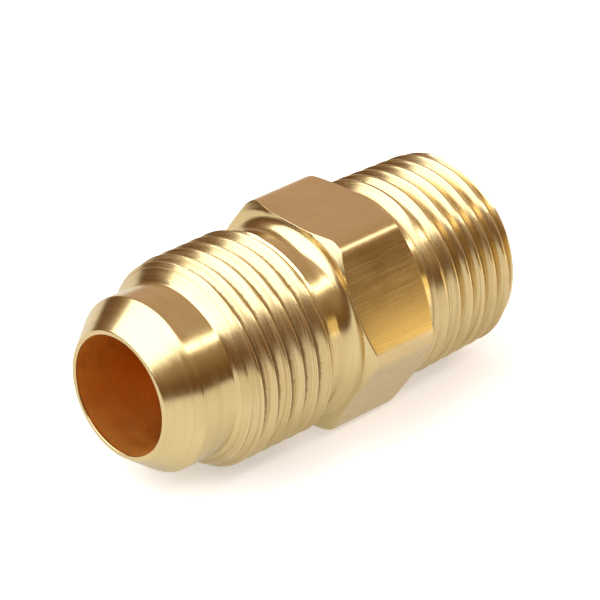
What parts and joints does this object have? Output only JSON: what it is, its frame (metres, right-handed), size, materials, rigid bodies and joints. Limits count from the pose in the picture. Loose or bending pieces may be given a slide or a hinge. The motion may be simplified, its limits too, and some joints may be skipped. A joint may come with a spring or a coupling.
{
  "type": "flare fitting",
  "caption": "Straight brass adapter from a male flare end to a male taper pipe thread, with a hexagon between them and a bore right through.",
  "frame": {"origin": "on the fitting's axis, halfway between the flare lip and the pipe end face", "axes": "+X along the axis towards the pipe thread, the flare nose points to -X, +Z square to an upward hexagon flat, +Y towards a hexagon corner"},
  "size_m": [0.0458, 0.0246, 0.022],
  "materials": {
    "brass": "bright as machined on the nose, threads and neck, satin on the hexagon flats"
  },
  "bodies": {
    "root": {"fitting_body": "brass"}
  },
  "joints": []
}
